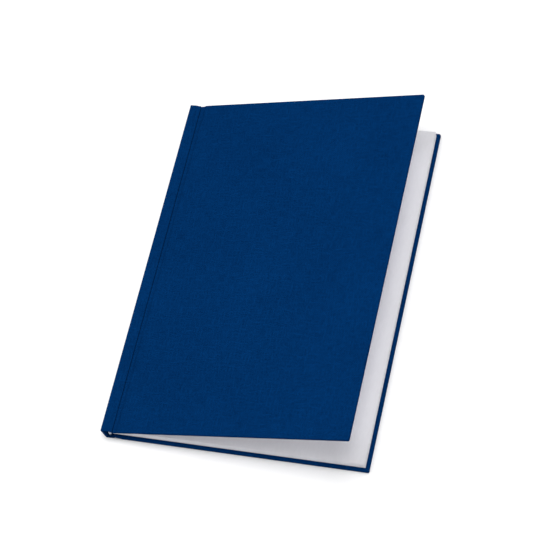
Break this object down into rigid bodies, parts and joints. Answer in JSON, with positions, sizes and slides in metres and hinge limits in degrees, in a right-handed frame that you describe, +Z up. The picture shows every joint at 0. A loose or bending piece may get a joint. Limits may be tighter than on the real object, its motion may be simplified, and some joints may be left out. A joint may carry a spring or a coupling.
{
  "type": "pilot logbook",
  "caption": "Slim case-bound logbook: sewn signatures of paper between cloth-covered boards, a card spine strip and pressed joint grooves, front cover lifted slightly.",
  "frame": {"origin": "centre of the box around the book as it lies, at the level of the back cover's outer face", "axes": "+X from spine to fore-edge, +Y from tail to head, +Z up out of the back cover"},
  "size_m": [0.1521, 0.214, 0.0439],
  "materials": {
    "book_cloth": "fine plain-weave book cloth, matt",
    "cover_board": "grey bookbinder's board",
    "spine_card": "smooth grey card",
    "endpaper": "white uncoated endpaper",
    "page_paper": "white uncoated writing paper",
    "mull_gauze": "open starched gauze",
    "liner_paper": "brown lining paper",
    "thread": "bleached sewing thread",
    "headband": "striped woven headband"
  },
  "bodies": {
    "back_cover": {"back_board": "cover_board", "back_cover_cloth": "book_cloth", "back_mull_flap": "mull_gauze", "back_pastedown": "endpaper", "joint_cloth_back": "book_cloth"},
    "text_block": {"signature_1": "page_paper", "signature_2": "page_paper", "signature_3": "page_paper", "signature_4": "page_paper", "signature_5": "page_paper", "signature_6": "page_paper", "sewing_thread": "thread", "spine_mull": "mull_gauze", "spine_liner": "liner_paper", "headband_head": "headband", "headband_tail": "headband", "front_endpaper_fold": "endpaper", "back_endpaper_fold": "endpaper", "joint_cloth_front": "book_cloth"},
    "front_cover": {"front_board": "cover_board", "front_cover_cloth": "book_cloth", "front_mull_flap": "mull_gauze", "front_pastedown": "endpaper"},
    "spine": {"spine_inlay": "spine_card", "spine_cloth": "book_cloth"},
    "front_flyleaf": {"front_flyleaf": "endpaper"},
    "first_leaf": {"first_leaf": "page_paper"},
    "back_flyleaf": {"back_flyleaf": "endpaper"},
    "last_leaf": {"last_leaf": "page_paper"}
  },
  "joints": [
    {"name": "front_cover_open", "type": "hinge", "parent": "text_block", "child": "front_cover", "pos_m": [-0.0692, 0, 0.00716], "axis": [0, -1, 0], "range_deg": [-13.8, 161.2], "deforming": ["joint_cloth_front"]},
    {"name": "spine_lean", "type": "hinge", "parent": "text_block", "child": "spine", "pos_m": [-0.075, 0, 0.00045], "axis": [0, -1, 0], "range_deg": [-6.9, 80.6]},
    {"name": "front_flyleaf_turn", "type": "hinge", "parent": "text_block", "child": "front_flyleaf", "pos_m": [-0.0692, 0, 0.00716], "axis": [0, -1, 0], "range_deg": [-13.25, 154.75]},
    {"name": "first_leaf_turn", "type": "hinge", "parent": "text_block", "child": "first_leaf", "pos_m": [-0.0678, 0, 0.00704], "axis": [0, -1, 0], "range_deg": [-12.83, 149.92]},
    {"name": "back_cover_open", "type": "hinge", "parent": "back_cover", "child": "text_block", "pos_m": [-0.0692, 0, 0.00212], "axis": [0, -1, 0], "range_deg": [0, 125], "deforming": ["joint_cloth_back"]},
    {"name": "back_flyleaf_turn", "type": "hinge", "parent": "text_block", "child": "back_flyleaf", "pos_m": [-0.0692, 0, 0.00212], "axis": [0, -1, 0], "range_deg": [-62.5, 0]},
    {"name": "last_leaf_turn", "type": "hinge", "parent": "text_block", "child": "last_leaf", "pos_m": [-0.0678, 0, 0.00224], "axis": [0, -1, 0], "range_deg": [-31.25, 0]}
  ],
  "couplings": [
    {"joint": "spine_lean", "follows": "front_cover_open", "ratio": 0.5},
    {"joint": "front_flyleaf_turn", "follows": "front_cover_open", "ratio": 0.96},
    {"joint": "first_leaf_turn", "follows": "front_cover_open", "ratio": 0.93},
    {"joint": "back_flyleaf_turn", "follows": "back_cover_open", "ratio": -0.5},
    {"joint": "last_leaf_turn", "follows": "back_cover_open", "ratio": -0.25}
  ]
}
